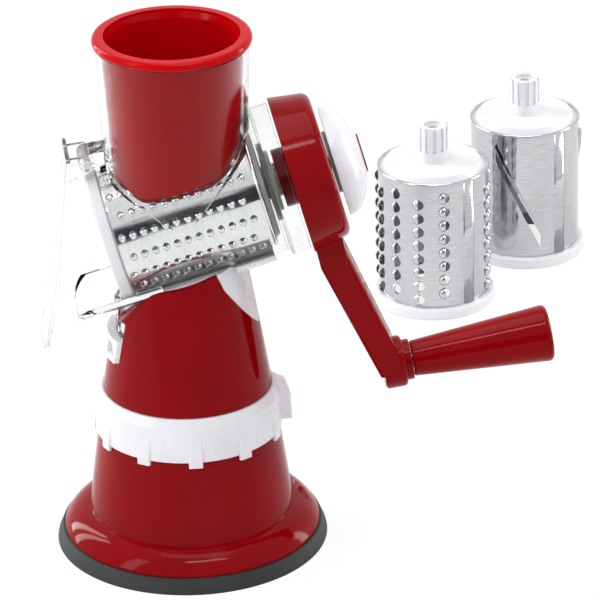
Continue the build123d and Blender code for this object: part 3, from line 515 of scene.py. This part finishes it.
def grid_on_drum_tree():
    """Geometry Nodes: a hood at each place of a staggered grid that wraps round a drum."""
    tree = bpy.data.node_groups.new("hoods_on_drum", "GeometryNodeTree")
    numbers = ["Radius", "Columns", "Rows", "First Angle", "Column Angle", "Pitch", "First Height",
               "Stagger", "Jitter"]
    for name in numbers:
        kind = "NodeSocketInt" if name in ("Columns", "Rows") else "NodeSocketFloat"
        tree.interface.new_socket(name, in_out="INPUT", socket_type=kind)
    tree.interface.new_socket("Hood", in_out="INPUT", socket_type="NodeSocketObject")
    tree.interface.new_socket("Finish", in_out="INPUT", socket_type="NodeSocketMaterial")
    tree.interface.new_socket("Geometry", in_out="OUTPUT", socket_type="NodeSocketGeometry")
    given = add(tree, "NodeGroupInput").outputs

    value = {name: given[name] for name in numbers}
    value["Index"] = add(tree, "GeometryNodeInputIndex").outputs[0]
    steps = [                        # name, operation, first and second value
        ("middle of index", "ADD", "Index", 0.5),
        ("columns passed", "DIVIDE", "middle of index", "Rows"),
        ("column", "FLOOR", "columns passed", 0.0),
        ("hoods before", "MULTIPLY", "column", "Rows"),
        ("row", "SUBTRACT", "Index", "hoods before"),
        ("turned", "MULTIPLY", "column", "Column Angle"),
        ("angle", "ADD", "turned", "First Angle"),
        ("odd", "MODULO", "column", 2.0),
        ("odd twice", "MULTIPLY", "odd", 2.0),
        ("side", "SUBTRACT", "odd twice", 1.0),
        ("climb", "MULTIPLY", "row", "Pitch"),
        ("even height", "ADD", "climb", "First Height"),
        ("shift", "MULTIPLY", "side", "Stagger"),
        ("height", "ADD", "even height", "shift"),
        ("cosine", "COSINE", "angle", 0.0),
        ("sine", "SINE", "angle", 0.0),
        ("x", "MULTIPLY", "cosine", "Radius"),
        ("y", "MULTIPLY", "sine", "Radius"),
        ("count", "MULTIPLY", "Columns", "Rows"),
        ("smallest", "SUBTRACT", 1.0, "Jitter"),
        ("largest", "ADD", 1.0, "Jitter"),
    ]
    for name, operation, first, second in steps:
        made = add(tree, "ShaderNodeMath", {"operation": operation}, {
            0: value.get(first, first), 1: value.get(second, second)})
        value[name] = made.outputs[0]
    position = add(tree, "ShaderNodeCombineXYZ", inputs={
        "X": value["x"], "Y": value["y"], "Z": value["height"]})
    points = add(tree, "GeometryNodePoints", inputs={
        "Count": value["count"], "Position": position.outputs[0]})
    turn = add(tree, "ShaderNodeCombineXYZ", inputs={"Z": value["angle"]})
    hood = add(tree, "GeometryNodeObjectInfo", {"transform_space": "ORIGINAL"}, {"Object": given["Hood"]})
    size = add(tree, "FunctionNodeRandomValue", {"data_type": "FLOAT"}, {
        2: value["smallest"], 3: value["largest"], "Seed": 7})
    placed = add(tree, "GeometryNodeInstanceOnPoints", inputs={
        "Points": points.outputs[0], "Instance": hood.outputs["Geometry"],
        "Rotation": turn.outputs[0], "Scale": size.outputs[1]})
    real = add(tree, "GeometryNodeRealizeInstances", inputs={"Geometry": placed.outputs[0]})
    finished = add(tree, "GeometryNodeSetMaterial", inputs={
        "Geometry": real.outputs[0], "Material": given["Finish"]})
    add(tree, "NodeGroupOutput", inputs={"Geometry": finished.outputs[0]})
    return tree


hood_tree = grid_on_drum_tree()
print(hood_tree.name, len(hood_tree.nodes), "nodes")


def plain_copy(source, name, matrix):
    """The evaluated result of an object as a plain mesh object at the origin."""
    depsgraph = bpy.context.evaluated_depsgraph_get()
    mesh = bpy.data.meshes.new_from_object(source.evaluated_get(depsgraph), depsgraph=depsgraph)
    mesh.name = name
    mesh.transform(matrix)
    for polygon in mesh.polygons:
        polygon.use_smooth = True
    piece = bpy.data.objects.new(name, mesh)
    bpy.context.scene.collection.objects.link(piece)
    return piece


def hoods_on_drum(name, hood, matrix, material, sizes):
    """Runs the tree with this drum's sizes and leaves a plain mesh."""
    carrier = bpy.data.objects.new(name + "_carrier", bpy.data.meshes.new(name + "_carrier"))
    bpy.context.scene.collection.objects.link(carrier)
    modifier = carrier.modifiers.new("hoods", "NODES")
    modifier.node_group = hood_tree
    for item in hood_tree.interface.items_tree:
        if item.in_out == "INPUT" and item.name in sizes:
            modifier[item.identifier] = sizes[item.name]
        elif item.name == "Hood":
            modifier[item.identifier] = hood
        elif item.name == "Finish":
            modifier[item.identifier] = material
    piece = plain_copy(carrier, name, matrix)
    bpy.data.objects.remove(carrier)
    print(name, len(piece.data.polygons), "faces")
    return piece


# %% [markdown]
# ### Sizes of the teeth
#
# The fitted drum has eighteen lines of twelve small hoods, each line shifted by half a pitch
# against the next. The coarse spare drum has twelve lines of eight larger ones, and a plain
# strip where its sheet is joined. Holes and hoods share one grid, so the numbers repeat the
# sheet's: radius, angle between lines, pitch along the drum and shift.

# %% Setting the teeth
plug_depth = 3.0 * mm
grid_middle = (ring_width + drum_length - plug_depth) / 2


def grid_start(rows, pitch):
    return grid_middle - (rows - 1) * pitch / 2


fine_lines, fine_in_line, fine_pitch = 18, 12, 5.3 * mm
coarse_lines, coarse_in_line, coarse_pitch = 12, 8, 7.8 * mm
fine_sizes = {
    "Radius": drum_radius, "Columns": fine_lines, "Rows": fine_in_line,
    "First Angle": math.radians(-7), "Column Angle": math.radians(360 / fine_lines),
    "Pitch": fine_pitch, "First Height": grid_start(fine_in_line, fine_pitch),
    "Stagger": fine_pitch / 4, "Jitter": 0.03}
coarse_sizes = {
    "Radius": drum_radius, "Columns": coarse_lines, "Rows": coarse_in_line,
    "First Angle": math.radians(-23.4), "Column Angle": math.radians(27),
    "Pitch": coarse_pitch, "First Height": grid_start(coarse_in_line, coarse_pitch),
    "Stagger": coarse_pitch / 4, "Jitter": 0.02}
fine_teeth = hoods_on_drum("drum_teeth", fine_hood, drum_matrix, machine_steel, fine_sizes)
coarse_teeth = hoods_on_drum("coarse_teeth", coarse_hood, coarse_matrix, coarse_steel, coarse_sizes)
for tool in (fine_hood, coarse_hood):
    bpy.data.objects.remove(tool)
for piece, body in ((fine_teeth, "crank"), (coarse_teeth, "coarse_drum")):
    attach(piece, body)

# %% [markdown]
# ## Rolled rim and lapped seam
#
# The sheet's closed end is curled over the white cap, which leaves a round bright bead, and
# its two long edges overlap in a flat seam. Both are simple profiles carried round or along
# the drum: a closed outline turned about the axis for the bead, and a thin arc pulled along
# the axis for the seam.

# %% Beads and seams
bead_radius = 0.9 * mm
bead_sink = 0.45                     # share of its radius that lies inside the sheet
bead_lift = 0.35                     # share of its radius that its middle stands above the sheet
seam_width = 7.0 * mm
seam_lift = 0.35 * mm
seam_sink = 0.1 * mm
seam_fade = 4.0                      # the edges round off over a quarter of the width each


def bead_builder(made, turns=96, sides=12):
    """A round bead at the drum's closed end."""
    circle = drum_radius - bead_radius * bead_sink
    for turn in range(turns):
        angle = 2 * math.pi * turn / turns
        for side in range(sides):
            around = 2 * math.pi * side / sides
            reach = circle + bead_radius * math.cos(around)
            height = drum_length + bead_radius * (bead_lift + math.sin(around))
            made.verts.new((reach * math.cos(angle), reach * math.sin(angle), height))
    made.verts.ensure_lookup_table()
    for turn in range(turns):
        for side in range(sides):
            after, beside = (turn + 1) % turns, (side + 1) % sides
            made.faces.new([made.verts[i] for i in (
                turn * sides + side, after * sides + side, after * sides + beside, turn * sides + beside)])


def seam_builder(angle):
    """A strip with rounded long edges that lies on the sheet."""
    def build(made, steps=10):
        profile = []
        half = seam_width / 2 / drum_radius
        for step in range(steps + 1):
            turn = angle - half + 2 * half * step / steps
            fade = min(1.0, seam_fade * min(step, steps - step) / steps)
            reach = drum_radius + seam_lift * math.sin(fade * math.pi / 2)
            profile.append((reach * math.cos(turn), reach * math.sin(turn)))
        for step in range(steps, -1, -1):
            turn = angle - half + 2 * half * step / steps
            reach = drum_radius - seam_sink
            profile.append((reach * math.cos(turn), reach * math.sin(turn)))
        low = [made.verts.new((x, y, ring_width)) for x, y in profile]
        high = [made.verts.new((x, y, drum_length)) for x, y in profile]
        made.faces.new(low)
        made.faces.new(high)
        for first in range(len(profile)):
            second = (first + 1) % len(profile)
            made.faces.new((low[first], low[second], high[second], high[first]))
    return build


seam_angles = {"coarse": math.radians(301.7), "slicer": math.radians(300.6)}
drums = [
    ("drum", drum_matrix, machine_steel, "crank", None),
    ("coarse", coarse_matrix, coarse_steel, "coarse_drum", seam_angles["coarse"]),
    ("slicer", slicer_matrix, slicer_steel, "slicer_drum", seam_angles["slicer"]),
]
for name, matrix, steel, body, seam_angle in drums:
    made_pieces = [new_piece(name + "_rim_bead", bead_builder, steel)]
    if seam_angle is not None:
        made_pieces.append(new_piece(name + "_seam", seam_builder(seam_angle), steel))
    for piece in made_pieces:
        piece.data.transform(matrix)
        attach(piece, body)
        print(piece.name, len(piece.data.polygons), "faces")

# %% [markdown]
# ## Table and backdrop
#
# A plain pale floor keeps the object's soft shadow. To reach the white of a catalogue page
# without flooding the object with light, the floor adds a little glow of its own, but only
# for rays that come from the camera, or that bounce off gloss or pass through clear plastic.
# Light that falls on the object still comes from the lamps alone.

# %% Floor
floor_half = 4.0
gloss_share = 0.28                   # how much of the floor's glow a glossy surface sees
glow_share = 0.8
glow_strength = 1.05


def seen_ray(tree):
    """One for rays that only look: from the camera, off gloss, or through clear plastic."""
    path = add(tree, "ShaderNodeLightPath").outputs
    gloss = add(tree, "ShaderNodeMath", {"operation": "MULTIPLY"}, {
        0: path["Is Glossy Ray"], 1: gloss_share})
    looked = add(tree, "ShaderNodeMath", {"operation": "MAXIMUM"}, {
        0: path["Is Camera Ray"], 1: gloss.outputs[0]})
    looked = add(tree, "ShaderNodeMath", {"operation": "MAXIMUM"}, {
        0: looked.outputs[0], 1: path["Is Transmission Ray"]})
    return looked.outputs[0]


def floor_material():
    material, tree = new_material("studio_floor_pale")
    seen = seen_ray(tree)
    matt = add(tree, "ShaderNodeBsdfDiffuse", inputs={"Color": linear("F2F2F2")})
    glow = add(tree, "ShaderNodeEmission", inputs={
        "Color": linear("FFFFFF"), "Strength": glow_strength})
    share = add(tree, "ShaderNodeMath", {"operation": "MULTIPLY"}, {0: seen, 1: glow_share})
    mixed = add(tree, "ShaderNodeMixShader", inputs={
        0: share.outputs[0], 1: matt.outputs[0], 2: glow.outputs[0]})
    add(tree, "ShaderNodeOutputMaterial", inputs={"Surface": mixed.outputs[0]})
    return material


def floor_builder(made):
    corners = [(-floor_half, -floor_half), (floor_half, -floor_half),
               (floor_half, floor_half), (-floor_half, floor_half)]
    made.faces.new([made.verts.new((x, y, 0)) for x, y in corners])


floor = new_piece("studio_floor", floor_builder, floor_material())
print(floor.name, "is", 2 * floor_half, "m wide")

# %% [markdown]
# ## Light
#
# A large soft lamp at the left gives the long highlights on the foot, tower and feed tube, and
# two slim ones further back draw the bright streaks on the foot's rim. A narrower one behind
# at the right outlines the crank and grip, and a broad one overhead fills the top faces. The
# world is an even pale room, with one dark patch low in front that only glossy things see, as
# a camera and its stand make in a real studio: it gives the bright drum its dark band.

# %% Lamps and world


def lamp(name, place, aim, size, power, colour="FFFFFF"):
    light = bpy.data.lights.new(name, "AREA")
    light.shape = "RECTANGLE"
    light.size, light.size_y = size
    light.energy = power
    light.color = linear(colour)[:3]
    holder = bpy.data.objects.new(name, light)
    bpy.context.scene.collection.objects.link(holder)
    direction = Vector(aim) - Vector(place)
    holder.location = place
    holder.rotation_euler = direction.to_track_quat("-Z", "Y").to_euler()
    return holder


middle = (0.05, 0.0, 0.13)
lamps = [
    lamp("softbox_left", (-0.62, -0.3, 0.42), middle, (0.16, 0.7), 1.6),
    lamp("window_left_near", (-0.72, 0.5, 0.45), middle, (0.12, 0.8), 3.2),
    lamp("window_left_far", (-0.6, 0.68, 0.45), middle, (0.12, 0.8), 3.2),
    lamp("softbox_right", (0.9, 0.25, 0.3), middle, (0.16, 0.55), 2.6),
    lamp("overhead_strip", (0.12, -0.45, 1.15), middle, (0.55, 0.1), 2.8),
    lamp("overhead", (0.1, 0.15, 1.3), middle, (0.8, 0.8), 4.6),
]
fill_strength = 0.52
dark_side = Vector((-0.05, -0.987, 0.16)).normalized()


def studio_world():
    world = bpy.data.worlds.new("studio")
    world.use_nodes = True
    tree = world.node_tree
    tree.nodes.clear()
    path = add(tree, "ShaderNodeLightPath").outputs
    direction = add(tree, "ShaderNodeTexCoord").outputs["Generated"]
    front = add(tree, "ShaderNodeVectorMath", {"operation": "DOT_PRODUCT"}, {
        0: direction, 1: dark_side})
    room = add(tree, "ShaderNodeValToRGB", inputs={"Fac": front.outputs["Value"]}, stops=[
        (0.0, "FFFFFF"), (0.94, "E8E8E8"), (0.97, "3A3C40"), (1.0, "26282C")])
    light = add(tree, "ShaderNodeBackground", inputs={
        "Color": linear("FFFFFF"), "Strength": fill_strength})
    seen = add(tree, "ShaderNodeBackground", inputs={"Color": linear("FFFFFF"), "Strength": 1.0})
    gloss = add(tree, "ShaderNodeBackground", inputs={
        "Color": room.outputs["Color"], "Strength": 1.0})
    looked = add(tree, "ShaderNodeMath", {"operation": "MAXIMUM"}, {
        0: path["Is Camera Ray"], 1: path["Is Transmission Ray"]})
    plain = add(tree, "ShaderNodeMixShader", inputs={
        0: looked.outputs[0], 1: light.outputs[0], 2: seen.outputs[0]})
    mixed = add(tree, "ShaderNodeMixShader", inputs={
        0: path["Is Glossy Ray"], 1: plain.outputs[0], 2: gloss.outputs[0]})
    add(tree, "ShaderNodeOutputWorld", inputs={"Surface": mixed.outputs[0]})
    return world


scene = bpy.context.scene
scene.world = studio_world()
scene.view_settings.view_transform = "Standard"
print(len(lamps), "lamps,", round(sum(holder.data.energy for holder in lamps), 1), "W in all")

# %% [markdown]
# ## Camera
#
# The picture was taken with a long lens, a little from the left and well above the table. A
# long lens keeps upright edges nearly parallel, so the distance is large and the lens is
# long too. The camera rolls by a degree or so, as a hand-held one does.

# %% Camera
view_turn = math.radians(-6.38)
view_rise = math.radians(25.27)
view_roll = math.radians(-1.31)
view_distance = 2.2665
view_target = Vector((0.05465, 0.0, 0.11901))
focal_pixels = 4781.9
frame_pixels = 600.0

back = Vector((math.sin(view_turn) * math.cos(view_rise),
               -math.cos(view_turn) * math.cos(view_rise), math.sin(view_rise)))
right = Vector((math.cos(view_turn), math.sin(view_turn), 0.0))
up = back.cross(right)
rolled_right = right * math.cos(view_roll) + up * math.sin(view_roll)
rolled_up = up * math.cos(view_roll) - right * math.sin(view_roll)
camera = bpy.data.objects.new("camera", bpy.data.cameras.new("camera"))
scene.collection.objects.link(camera)
camera.data.sensor_width = 36.0
camera.data.lens = camera.data.sensor_width * focal_pixels / frame_pixels
camera.data.clip_start, camera.data.clip_end = 0.1, 50.0
camera.matrix_world = Matrix.Translation(view_target + back * view_distance) @ Matrix(
    (rolled_right, rolled_up, back)).transposed().to_4x4()
scene.camera = camera
print("lens", round(camera.data.lens), "mm")
